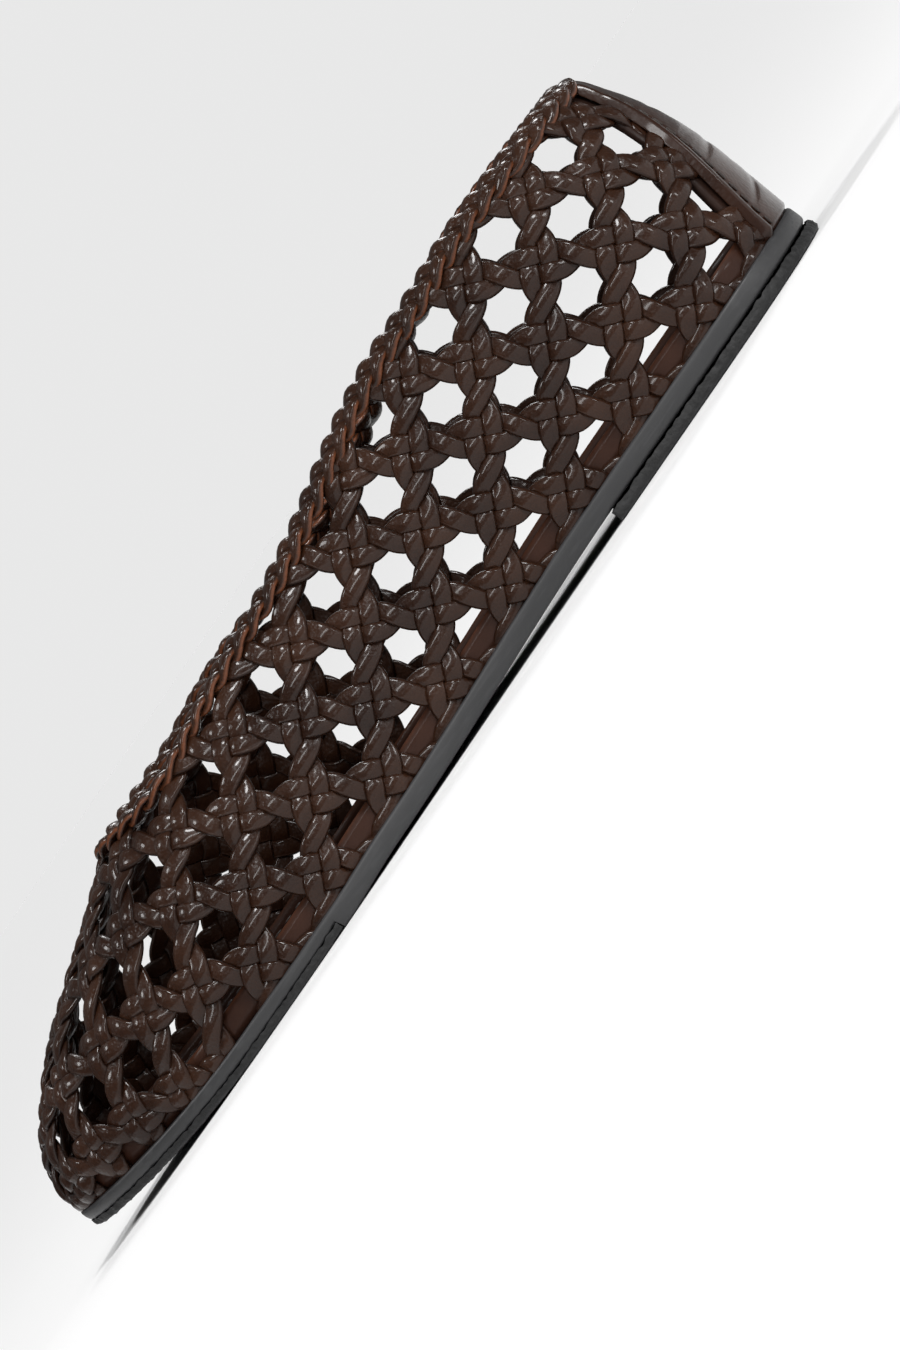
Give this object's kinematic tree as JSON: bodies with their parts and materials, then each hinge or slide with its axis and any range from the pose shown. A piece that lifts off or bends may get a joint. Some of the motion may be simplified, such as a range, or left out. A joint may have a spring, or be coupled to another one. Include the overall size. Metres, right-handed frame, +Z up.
{
  "type": "braided ballet flat",
  "caption": "Low ballet flat with an openwork braided leather upper, smooth back strip and thin rubber sole; left foot.",
  "frame": {"origin": "centre of the shoe's outline box, on the floor it stands on", "axes": "+Z up, -Y toward the toe, +X toward the outer side of this left shoe"},
  "size_m": [0.0824, 0.2478, 0.0602],
  "materials": {
    "braid": "satin",
    "back_strip": "satin",
    "sock": "satin",
    "sole": "matte",
    "tread": "matte"
  },
  "bodies": {
    "root": {"outsole": "sole", "forefoot_tread": "tread", "heel_lift": "tread", "insole": "sock", "upper": "braid", "back_strip": "back_strip"}
  },
  "joints": []
}
